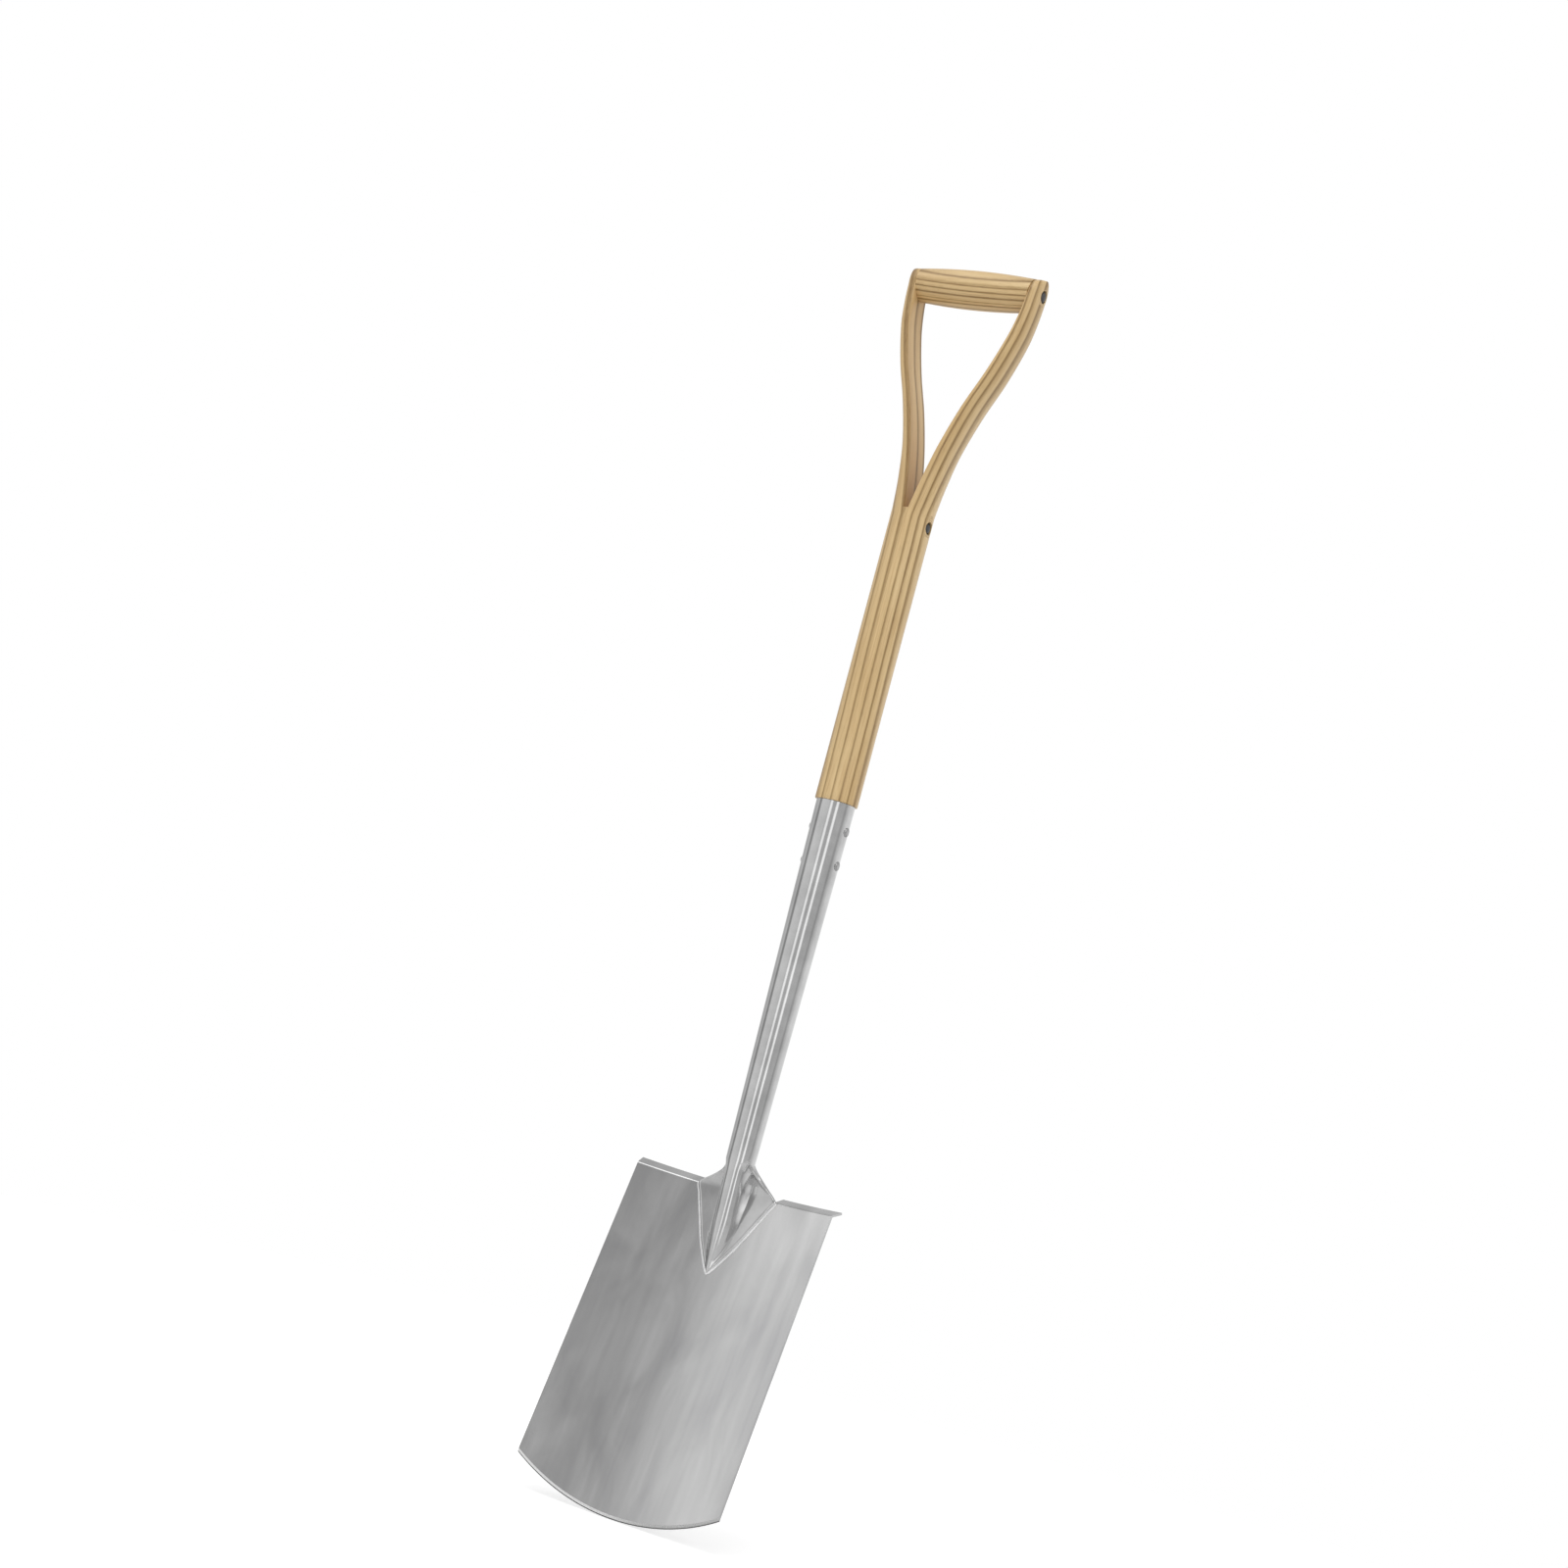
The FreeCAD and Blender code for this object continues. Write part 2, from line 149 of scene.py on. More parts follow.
# ---- small helpers -----------------------------------------------------------
def smooth_table(stations, t):
    """Row of a table at t (its first column), along a smooth curve through the rows."""
    rows = sorted(stations)
    t = min(max(t, rows[0][0]), rows[-1][0])
    k = max(i for i, row in enumerate(rows[:-1]) if row[0] <= t)
    a, b = rows[k], rows[k + 1]
    before = rows[k - 1] if k else a
    after = rows[k + 2] if k + 2 < len(rows) else b
    span = b[0] - a[0]
    s = (t - a[0]) / span
    values = []
    for i in range(1, len(a)):
        slope_a = (b[i] - before[i]) / (b[0] - before[0]) * span
        slope_b = (after[i] - a[i]) / (after[0] - a[0]) * span
        values.append((2 * s**3 - 3 * s**2 + 1) * a[i] + (s**3 - 2 * s**2 + s) * slope_a
                      + (3 * s**2 - 2 * s**3) * b[i] + (s**3 - s**2) * slope_b)
    return values


def turns(count):
    """Angles of a number of points spread evenly round a circle."""
    return [2 * math.pi * k / count for k in range(count)]


def smoothstep(low, high, value):
    s = min(max((value - low) / (high - low), 0.0), 1.0)
    return s * s * (3 - 2 * s)


def soft_max(a, b, radius):
    """The larger of two heights, with a fillet where they cross."""
    if radius <= 0:
        return max(a, b)
    return max(a, b) + max(radius - abs(a - b), 0.0) ** 2 / (4 * radius)


def blade_point(angle, below, offset):
    """Point of the dished plate: angle round the dish, distance below the tread line."""
    radius = dish_radius(below) + offset
    x = radius * math.sin(angle)
    y = -dish_radius(below) + radius * math.cos(angle)
    return blade_place(x, y, -below)


def blade_place(x, y, z):
    """From the blade's upright frame to the shaft's frame."""
    sine, cosine = math.sin(CRANK), math.cos(CRANK)
    return (x, y * cosine + z * sine + SETBACK, z * cosine - y * sine)


def half_width(below):
    return TREAD_HALF_WIDTH + (EDGE_HALF_WIDTH - TREAD_HALF_WIDTH) * below / SIDE_LENGTH


def dish_radius(below):
    depth = DISH_TOP + (DISH_BOTTOM - DISH_TOP) * below / SIDE_LENGTH
    return half_width(below) ** 2 / (2 * depth) + depth / 2


class Skin:
    """Vertices, faces and one optional vector per vertex, gathered before a mesh is made."""

    def __init__(self):
        self.points, self.faces, self.grain = [], [], []

    def add(self, point, grain=None):
        self.points.append(point)
        self.grain.append(grain or point)
        return len(self.points) - 1

    def grid(self, rows, closed=False):
        """Quads between rows of vertex numbers; closed joins each row's ends."""
        for near, far in zip(rows, rows[1:]):
            count = len(near)
            for i in range(count if closed else count - 1):
                j = (i + 1) % count
                quad = []
                for v in (near[i], near[j], far[j], far[i]):
                    if v not in quad:
                        quad.append(v)
                if len(quad) > 2:
                    self.faces.append(quad)

    def piece(self, name, material, nodes, slot, sharp=40.0, grain=False):
        mesh = bpy.data.meshes.new(name)
        places = [tuple(ORIGIN + Vector(p) * MM) for p in self.points]
        mesh.from_pydata(places, [], self.faces)
        if grain:
            layer = mesh.attributes.new("grain", "FLOAT_VECTOR", "POINT")
            for item, value in zip(layer.data, self.grain):
                item.vector = Vector(value) * MM
        mesh.validate()
        return finish_piece(name, mesh, material, nodes, sharp)


def finish_piece(name, mesh, material, nodes, sharp):
    work = bmesh.new()
    work.from_mesh(mesh)
    bmesh.ops.recalc_face_normals(work, faces=work.faces)
    work.to_mesh(mesh)
    work.free()
    mesh.shade_smooth()
    mesh.set_sharp_from_angle(angle=math.radians(sharp))
    mesh.materials.append(material)
    piece = bpy.data.objects.new(name, mesh)
    bpy.context.scene.collection.objects.link(piece)
    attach(piece, "root")
    if nodes:
        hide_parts(*nodes)
    return piece


# ---- material helpers --------------------------------------------------------
class Graph:
    """Short-hand for building the node tree of a material or a world."""

    def __init__(self, owner):
        owner.use_nodes = True
        self.nodes = owner.node_tree.nodes
        self.links = owner.node_tree.links

    def node(self, kind, inputs=None, **settings):
        made = self.nodes.new(kind)
        for key, value in settings.items():
            setattr(made, key, value)
        for key, value in (inputs or {}).items():
            self.feed(made.inputs[key], value)
        return made

    def feed(self, socket, value):
        if isinstance(value, bpy.types.NodeSocket):
            self.links.new(value, socket)
        else:
            socket.default_value = value

    def shade(self, **inputs):
        """Sets the surface shader's inputs; an underscore in a name stands for a space."""
        for name, value in inputs.items():
            self.feed(self.nodes["Principled BSDF"].inputs[name.replace("_", " ")], value)

    def math(self, operation, a, b=0.0, c=0.0, clamp=False):
        return self.node("ShaderNodeMath", {0: a, 1: b, 2: c}, operation=operation,
                         use_clamp=clamp).outputs[0]

    def separate(self, vector):
        return self.node("ShaderNodeSeparateXYZ", {0: vector}).outputs

    def position(self):
        return self.node("ShaderNodeNewGeometry").outputs["Position"]

    def stretched(self, parts, share, across=True):
        """Coordinates with Z drawn out; without across, nothing changes along Y either."""
        along = self.math("MULTIPLY", parts["Z"], share)
        return self.vector(parts["X"], parts["Y"] if across else 0.0, along)

    def vector(self, x, y, z):
        return self.node("ShaderNodeCombineXYZ", {0: x, 1: y, 2: z}).outputs[0]

    def noise(self, vector, scale, detail=3.0, roughness=0.5, distortion=0.0):
        made = self.node("ShaderNodeTexNoise", {"Vector": vector, "Scale": scale,
                                                "Detail": detail, "Roughness": roughness,
                                                "Distortion": distortion})
        return made.outputs["Fac"]

    def ramp(self, value, stops):
        """Grey levels or colours in sRGB, at stops from 0 to 1."""
        made = self.node("ShaderNodeValToRGB", {0: value})
        made.color_ramp.interpolation = "LINEAR"
        elements = made.color_ramp.elements
        while len(elements) > 1:
            elements.remove(elements[-1])
        elements[0].position, elements[0].color = stops[0][0], colour(stops[0][1])
        for position, shade in stops[1:]:
            elements.new(position).color = colour(shade)
        return made.outputs[0]

    def mix(self, factor, a, b, blend="MIX"):
        made = self.node("ShaderNodeMix", data_type="RGBA", blend_type=blend)
        self.feed(made.inputs[0], factor)
        for socket, value in ((made.inputs[6], a), (made.inputs[7], b)):
            self.feed(socket, colour(value) if isinstance(value, (tuple, float)) else value)
        return made.outputs[2]

    def bump(self, height, strength, distance, normal=None):
        inputs = {"Height": height, "Strength": strength, "Distance": distance}
        if normal is not None:
            inputs["Normal"] = normal
        return self.node("ShaderNodeBump", inputs).outputs[0]


def new_material(name):
    material = bpy.data.materials.new(name)
    return material, Graph(material)


def linear(level):
    """sRGB level from 0 to 255, as a linear value."""
    c = level / 255
    return c / 12.92 if c <= 0.04045 else ((c + 0.055) / 1.055) ** 2.4


def colour(shade):
    """(r, g, b) as sRGB levels, or one grey level, to a linear colour with alpha."""
    if isinstance(shade, (int, float)):
        shade = (shade, shade, shade)
    return tuple(linear(level) for level in shade) + (1.0,)


# ---- materials ---------------------------------------------------------------
RING_WANDER = 0.005            # metres the growth rings stray from true circles
LATE_WOOD = ((238, 209, 158), (220, 187, 134))
EARLY_WOOD = ((146, 112, 58), (134, 100, 50))
PORE_COLOUR = (122, 92, 52)


def ash_wood(name, ring_centre, ring_spacing, slope, seed):
    """Straight-grained ash.

    The grain attribute holds two places across the grain and one along it, in metres.
    Slope is how far the rings' centre drifts for each metre along.
    """
    material, g = new_material(name)
    parts = g.separate(g.node("ShaderNodeAttribute", attribute_name="grain").outputs["Vector"])
    along = parts["Z"]
    slow = g.vector(g.math("MULTIPLY", parts["X"], 9.0), g.math("MULTIPLY", parts["Y"], 9.0),
                    g.math("MULTIPLY_ADD", along, 3.0, seed))
    wander = g.node("ShaderNodeTexNoise", {"Vector": slow, "Scale": 1.0, "Detail": 2.0,
                                           "Roughness": 0.45}).outputs["Color"]
    wander = g.separate(wander)
    x = g.math("ADD", g.math("MULTIPLY_ADD", wander["X"], RING_WANDER, -ring_centre[0]), parts["X"])
    x = g.math("MULTIPLY_ADD", along, slope, x)
    y = g.math("ADD", g.math("MULTIPLY_ADD", wander["Y"], RING_WANDER, -ring_centre[1]), parts["Y"])
    distance = g.math("SQRT", g.math("ADD", g.math("MULTIPLY", x, x), g.math("MULTIPLY", y, y)))
    rings = g.math("DIVIDE", distance, ring_spacing)
    uneven = g.noise(g.vector(rings, 0.0, g.math("MULTIPLY", along, 0.7)), 0.9, 1.0)
    rings = g.math("MULTIPLY_ADD", uneven, 1.4, rings)
    phase = g.math("FRACT", rings)

    fibre = g.noise(g.stretched(parts, 0.022), 1500.0, 4.0, 0.62)
    pores = g.noise(g.stretched(parts, 0.05), 2600.0, 2.0, 0.5)
    band = g.math("MULTIPLY_ADD", fibre, 0.20, g.math("SUBTRACT", phase, 0.10))
    early = g.ramp(band, ((0.0, 180), (0.07, 235), (0.18, 215), (0.40, 90), (0.70, 0),
                          (0.88, 0), (1.0, 150)))
    depth = g.noise(g.vector(rings, 3.0, g.math("MULTIPLY", along, 0.8)), 1.3, 1.0)
    early = g.math("MULTIPLY", early, g.math("MULTIPLY_ADD", depth, 1.3, 0.30), clamp=True)

    tone = g.noise(g.vector(g.math("MULTIPLY", parts["X"], 40.0),
                            g.math("MULTIPLY", parts["Y"], 40.0),
                            g.math("MULTIPLY_ADD", along, 7.0, seed)), 1.0, 2.0)
    tone = g.ramp(tone, ((0.32, 0), (0.68, 255)))
    wood = g.mix(early, g.mix(tone, *LATE_WOOD), g.mix(tone, *EARLY_WOOD))
    streak = g.ramp(fibre, ((0.32, (196, 166, 122)), (0.50, (244, 240, 230)),
                            (0.68, (255, 254, 250))))
    wood = g.mix(0.40, wood, streak, "MULTIPLY")
    pore_mask = g.ramp(pores, ((0.30, 255), (0.42, 0)))
    pore_mask = g.math("MULTIPLY", pore_mask, g.math("MULTIPLY_ADD", early, 0.75, 0.10))
    wood = g.mix(pore_mask, wood, PORE_COLOUR)

    rough = g.math("MULTIPLY_ADD", fibre, 0.16, 0.34)
    rough = g.math("MULTIPLY_ADD", pore_mask, 0.15, rough)
    g.shade(Base_Color=wood, Roughness=rough, Specular_IOR_Level=0.40, Coat_Weight=0.25,
            Coat_Roughness=0.24)
    relief = g.math("MULTIPLY_ADD", fibre, 0.35, g.math("MULTIPLY", pore_mask, -0.6))
    relief = g.math("SUBTRACT", relief, g.math("MULTIPLY", early, 0.25))
    g.shade(Normal=g.bump(relief, 0.35, 0.0002))
    return material


def brushed_plate():
    """Blade steel, rolled and brushed along its length, with soft blotches."""
    material, g = new_material("blade_steel")
    parts = g.separate(g.position())
    blotch = g.noise(g.stretched(parts, 0.40, across=False), 26.0, 3.0, 0.5, 0.6)
    streak = g.noise(g.stretched(parts, 0.05, across=False), 110.0, 3.0, 0.5)
    hair = g.noise(g.stretched(parts, 0.012), 2600.0, 3.0, 0.6)
    shade = g.math("MULTIPLY_ADD", streak, 0.30, g.math("MULTIPLY", blotch, 0.70))
    base = g.ramp(shade, ((0.32, (183, 183, 184)), (0.50, (198, 198, 198)),
                          (0.68, (212, 212, 212))))
    g.shade(Base_Color=base, Metallic=1.0)
    rough = g.math("MULTIPLY_ADD", blotch, 0.14, g.math("MULTIPLY_ADD", hair, 0.08, 0.11))
    g.shade(Roughness=rough)
    waves = g.noise(g.stretched(parts, 0.35, across=False), 11.0, 2.0, 0.40)
    normal = g.bump(waves, 0.13, 0.006)
    g.shade(Normal=g.bump(hair, 0.07, 0.0002, normal))
    return material


def ground_edge():
    """Freshly ground steel of the bevel, with a painted highlight: brighter towards -x, duller
    towards +x.
    """
    material, g = new_material("ground_edge")
    parts = g.separate(g.position())
    # Painted highlight: the bevel's base colour goes from 250 on the -x side to 205 on the +x side.
    painted_highlight = g.node("ShaderNodeMapRange", {0: parts["X"], 1: -0.02, 2: 0.05},
                  interpolation_type="SMOOTHSTEP").outputs[0]
    lines = g.noise(g.vector(parts["X"], 0.0, 0.0), 900.0, 3.0, 0.6)
    base = g.mix(painted_highlight, 250.0, 205.0)
    base = g.mix(g.math("MULTIPLY", lines, 0.20), base, 180.0)
    g.shade(Base_Color=base, Metallic=1.0)
    g.shade(Roughness=g.math("MULTIPLY_ADD", lines, 0.20, 0.18))
    g.shade(Normal=g.bump(lines, 0.10, 0.0002))
    return material


def polished_steel(name, level, base_roughness):
    """Steel of the socket, weld, rivets and washers, with faint draw lines and smudges."""
    material, g = new_material(name)
    place = g.position()
    smudge = g.noise(place, 45.0, 4.0, 0.6)
    lines = g.noise(g.stretched(g.separate(place), 0.01), 1400.0, 3.0, 0.55)
    base = g.ramp(smudge, ((0.3, level - 12), (0.7, level + 8)))
    g.shade(Base_Color=base, Metallic=1.0)
    rough = g.math("MULTIPLY_ADD", lines, 0.04, base_roughness)
    rough = g.math("MULTIPLY_ADD", smudge, 0.10, rough)
    g.shade(Roughness=rough)
    normal = g.bump(g.noise(place, 45.0, 1.0, 0.4), 0.07, 0.001)
    g.shade(Normal=g.bump(lines, 0.03, 0.0002, normal))
    return material


# ---- blade -------------------------------------------------------------------
SIDE_COLUMNS = 26              # columns in each tread zone
MIDDLE_COLUMNS = 34
BLADE_ROWS = 60
FOLD_STEPS = 7
FLAT_STEPS = 3
SOFT_EDGE = 0.2                # width of the bevel on the plate's sharp edges


def edge_drop(x):
    """Distance below the tread line of the cutting edge at x."""
    radius = (EDGE_HALF_WIDTH**2 + EDGE_ARC_RISE**2) / (2 * EDGE_ARC_RISE)
    return SIDE_LENGTH + math.sqrt(radius**2 - x**2) - (radius - EDGE_ARC_RISE)


def blade_columns():
    """Fractions of the dish's half angle, with a column on each tread's inner end."""
    radius = dish_radius(TREAD_START)
    split = math.asin(TREAD_INNER_X / radius) / math.asin(half_width(TREAD_START) / radius)
    left = [-1 + (1 - split) * i / SIDE_COLUMNS for i in range(SIDE_COLUMNS)]
    middle = [-split + 2 * split * i / MIDDLE_COLUMNS for i in range(MIDDLE_COLUMNS + 1)]
    return left + middle + [-u for u in reversed(left)]


def plate_row(skin, columns, share, offset, lift=0.0):
    """Row of the plate at a share of the way down to the cutting edge."""
    row = []
    for u in columns:
        bottom = edge_drop(u * half_width(SIDE_LENGTH)) - lift
        below = TREAD_START + share * (bottom - TREAD_START)
        angle = u * math.asin(half_width(below) / dish_radius(below))
        row.append(skin.add(blade_point(angle, below, offset)))
    return row


def fold_profile(bend):
    """Points up the folded tread: distance back and height above the fold's start."""
    points = []
    for i in range(1, FOLD_STEPS + 1):
        angle = FOLD_ANGLE * i / FOLD_STEPS
        points.append((FOLD_RADIUS + PLATE - bend * math.cos(angle), bend * math.sin(angle)))
    back, up = points[-1]
    for i in range(1, FLAT_STEPS + 1):
        run = TREAD_FLAT * i / FLAT_STEPS
        points.append((back + run * math.sin(FOLD_ANGLE), up + run * math.cos(FOLD_ANGLE)))
    return points


def tread_rows(skin, columns, bend):
    rows = []
    reach = math.asin(half_width(TREAD_START) / dish_radius(TREAD_START))
    for back, up in fold_profile(bend):
        row = []
        for u in columns:
            radius = dish_radius(TREAD_START) + back
            x, y = radius * math.sin(u * reach), radius * math.cos(u * reach)
            row.append(skin.add(blade_place(x, y - dish_radius(TREAD_START), up - TREAD_START)))
        rows.append(row)
    return rows


def make_blade(material, edge_material, land_shade_material):
    skin = Skin()
    columns = blade_columns()
    shares = [i / BLADE_ROWS for i in range(BLADE_ROWS + 1)]
    front = [plate_row(skin, columns, share, 0.0, BEVEL) for share in shares]
    back = [plate_row(skin, columns, share, PLATE) for share in shares]
    skin.grid(front)
    skin.grid(back)
    # The land strip gets a dark steel: painted shade along the cutting edge.
    land = plate_row(skin, columns, 1.0, PLATE * (1 - EDGE_LAND / BEVEL), EDGE_LAND)
    bevel_start = len(skin.faces)
    skin.grid([front[-1], land])
    land_start = len(skin.faces)
    skin.grid([land, back[-1]])
    land_end = len(skin.faces)
    for end in (0, -1):
        skin.grid([[row[end] for row in front], [row[end] for row in back]])
    first = SIDE_COLUMNS
    last = SIDE_COLUMNS + MIDDLE_COLUMNS
    skin.grid([front[0][first:last + 1], back[0][first:last + 1]])
    for chosen in (slice(0, first + 1), slice(last, None)):
        outer = [front[0][chosen]] + tread_rows(skin, columns[chosen], FOLD_RADIUS + PLATE)
        inner = [back[0][chosen]] + tread_rows(skin, columns[chosen], FOLD_RADIUS)
        skin.grid(outer)
        skin.grid(inner)
        skin.grid([outer[-1], inner[-1]])
        for end in (0, -1):
            skin.grid([[row[end] for row in outer], [row[end] for row in inner]])
    blade = skin.piece("blade_plate", material, ["blade"], "blade_steel", 30.0)
    for slot, (material, start, end) in enumerate(((edge_material, bevel_start, land_start),
                                                   (land_shade_material, land_start, land_end)), 1):
        blade.data.materials.append(material)
        for face in range(start, end):
            blade.data.polygons[face].material_index = slot
    bevel = blade.modifiers.new("softened_edges", "BEVEL")
    bevel.width = SOFT_EDGE * MM
    bevel.segments = 2
    bevel.limit_method = "ANGLE"
    bevel.angle_limit = math.radians(35)
    bevel.harden_normals = True
    return blade


# ---- socket and frog ---------------------------------------------------------
WEB_SAMPLES = 22
RIB_SAMPLES = 34
RIB_SHARE = 0.86               # most of a ring's half width that the rib's samples take
EDGE_CROWDING = 1.8            # how the web's samples crowd towards the rolled edge
TUBE_STEPS = 30
FROG_STEPS = 84
SOCKET_LIP = 0.35              # rounding of the socket's top rim
SOCKET_SEEN = 10.0             # depth of the bore that is modelled
RIB_FILLET = 5.0
EDGE_FILLET = 1.0
CREST_LIMIT = 8                # how sharply the rib's round part stops growing
FLANK_POWER = 6                # how square the rib stands below its round part


def neck_radius_at(height):
    return NECK_RADIUS + (SOCKET_TOP_RADIUS - NECK_RADIUS) * (height - NECK) / (SOCKET_TOP - NECK)


def across_samples(width, rib):
    """Positions across a ring, with the same number on the web and on the rib."""
    split = min(rib, RIB_SHARE * width)
    half = RIB_SAMPLES // 2
    reach = 0.9 * math.pi / 2
    right = [split * math.sin(reach * i / half) / math.sin(reach) for i in range(half + 1)]
    for i in range(1, WEB_SAMPLES + 1):
        share = i / WEB_SAMPLES
        right.append(split + (width - split) * (1 - (1 - share) ** EDGE_CROWDING))
    return [-x for x in reversed(right[1:])] + right


def slab_level(x, width, roll, web):
    """Level of the flat part at x, with its rolled edge."""
    crest = width - roll
    across = (abs(x) - crest) / roll
    edge = roll * math.sqrt(max(0.0, 1 - across**2))
    if abs(x) >= crest:
        return edge
    flat = roll + (web if web < 0 else web * (1 - (x / crest) ** 2))
    return soft_max(edge, flat, EDGE_FILLET * smoothstep(0.0, 1.0, -web))


def crest_level(origin, tilt):
    """Level of the rib's crest above a ring's origin, so that the crest is a straight line."""
    back = origin[1] + NECK_RADIUS - CREST_SLOPE * (NECK - origin[2])
    return max(0.0, back / (math.cos(tilt) - CREST_SLOPE * math.sin(tilt)))


def frog_ring(skin, station):
    """Ring of vertices round the neck or the V, at a height above the tread line.

    Down the V the rib's profile goes from round to pointed, and the fillet at its foot
    grows and then shrinks.
    """
    setback, width, roll, web, rib, back = smooth_table(FROG_STATIONS, station)
    drop = smoothstep(0.0, 1.0, 1 - station / NECK) if station > 0 else 1.0
    tilt = CRANK * drop
    origin = (0.0, setback, station * (math.cos(CRANK) if station < 0 else 1.0))
    front = crest_level(origin, tilt)
    share = (NECK - station) / (NECK + V_DEPTH)
    sharpness = 0.5 + 0.35 * share
    rear_sharpness = 0.5 + 0.6 * smoothstep(0.03, 0.30, share)
    fillet = RIB_FILLET * smoothstep(0.05, 0.35, share) * (1 - 0.6 * share)
    ahead = Vector((0.0, -math.cos(tilt), math.sin(tilt)))
    samples = across_samples(width, rib)
    ring = []
    for side, height, flat, power in ((1, front, web, sharpness),
                                      (-1, back, min(0.0, web), rear_sharpness)):
        for x in samples if side > 0 else list(reversed(samples[1:-1])):
            reach = min(1.0, abs(x) / rib)
            limit = 1 + (height / NECK_RADIUS) ** CREST_LIMIT
            round_part = height / limit ** (1 / CREST_LIMIT)
            ridge = (height - round_part * (1 - (1 - reach**2) ** power)
                     - (height - round_part) * reach**FLANK_POWER)
            level = soft_max(slab_level(x, width, roll, flat), ridge, fillet)
            sag = drop * x**2 / (2 * dish_radius(0.0))
            point = Vector(origin) + Vector((x, 0, 0)) + ahead * (side * level + sag)
            ring.append(skin.add(tuple(point)))
    return ring


def tube_ring(skin, height, radius):
    samples = across_samples(radius, radius)
    ring = []
    for side in (1, -1):
        for x in samples if side > 0 else list(reversed(samples[1:-1])):
            ring.append(skin.add((x, -side * math.sqrt(max(0.0, radius**2 - x**2)), height)))
    return ring


def make_socket(material):
    skin = Skin()
    rings = []
    bore = SOCKET_TOP_RADIUS - SOCKET_WALL
    for height, radius in ((SOCKET_TOP - SOCKET_SEEN, bore), (SOCKET_TOP - SOCKET_LIP, bore),
                           (SOCKET_TOP, bore + SOCKET_LIP),
                           (SOCKET_TOP, SOCKET_TOP_RADIUS - SOCKET_LIP)):
        rings.append(tube_ring(skin, height, radius))
    rim = SOCKET_TOP - SOCKET_LIP
    for i in range(TUBE_STEPS):
        height = rim + (NECK + 1 - rim) * i / TUBE_STEPS
        rings.append(tube_ring(skin, height, neck_radius_at(height)))
    for i in range(FROG_STEPS + 1):
        rings.append(frog_ring(skin, NECK - (NECK + V_DEPTH) * i / FROG_STEPS))
    skin.grid(rings, closed=True)
    skin.faces.append(rings[-1])
    return skin.piece("socket_tube", material, ["socket"], "socket_steel", 38.0)


BEAD_RADIUS = 1.15
BEAD_SIDES = 10
BEAD_STEPS = 60                # along each arm of the V
BEAD_OFFSET = 0.2              # outside the V's edge
BEAD_TIP_DROP = 0.8            # past the V's tip
BEAD_FLATTENING = 0.8


def make_weld(name, offset, material):
    """Rippled weld bead round the V, on one face of the blade."""
    skin = Skin()
    path = []
    for i in range(2 * BEAD_STEPS + 1):
        s = abs(1 - i / BEAD_STEPS)
        below = V_DEPTH * (1 - s)
        width = smooth_table(FROG_STATIONS, -below)[1] + BEAD_OFFSET
        at_tip = i == BEAD_STEPS
        x = 0.0 if at_tip else math.copysign(width, i - BEAD_STEPS)
        path.append((x, below + (BEAD_TIP_DROP if at_tip else 0.0)))
    rings = []
    for i, (x, below) in enumerate(path):
        ripple = BEAD_RADIUS * (1 + 0.06 * math.sin(1.9 * i) + 0.04 * math.sin(0.7 * i + 1))
        before, after = path[max(0, i - 1)], path[min(len(path) - 1, i + 1)]
        run = Vector((after[0] - before[0], 0, before[1] - after[1])).normalized()
        side = Vector((run.z, 0, -run.x))
        sag = -x**2 / (2 * dish_radius(below))
        ring = []
        for angle in turns(BEAD_SIDES):
            reach = ripple * math.cos(angle)
            rise = ripple * BEAD_FLATTENING * math.sin(angle)
            ring.append(skin.add(blade_place(x + side.x * reach, offset + sag + rise,
                                             -below + side.z * reach)))
        rings.append(ring)
    skin.grid(rings, closed=True)
    skin.faces.extend([rings[0], rings[-1]])
    return skin.piece(name, material, [], "socket_steel", 60.0)


# ---- handle ------------------------------------------------------------------
OUTER_STEPS = 30
CORNER_STEPS = 4
INNER_STEPS = 8
RING_SPACING = 4.0
KERF_CORNER = 0.5              # radius of the inner face's edges at the saw kerf's foot
ARM_CORNER = 2.4               # and higher up the arms
CORNER_SHARE = 0.45            # most of a section that one corner may take
ARM_SQUARENESS = 0.13          # how much fuller than an ellipse the arms' outer side is
CAP_STEPS = 14
CUT_START = 0.55               # share of the cap above which its outer corner is cut
SEAT_SIDES = 48
SEAT_REACH = 30.0              # how far the seat cutters stand out past the wood
SHAFT_STEPS = 40
SHAFT_CHAMFER = 0.8            # at the shoulder that meets the socket's top
TENON_GAP = 0.05
TENON_SEEN = 8.0               # depth of the tenon that is modelled inside the socket
GRIP_AROUND = 64
GRIP_ALONG = 48
GRIP_OVERLAP = 0.3             # how far the grip's ends reach into the arms
GRAIN_INSET = 1.5              # distance of the arms' grain from their inner faces


def corner_radius(height):
    return KERF_CORNER + (ARM_CORNER - KERF_CORNER) * smoothstep(KERF_FOOT, 700.0, height)


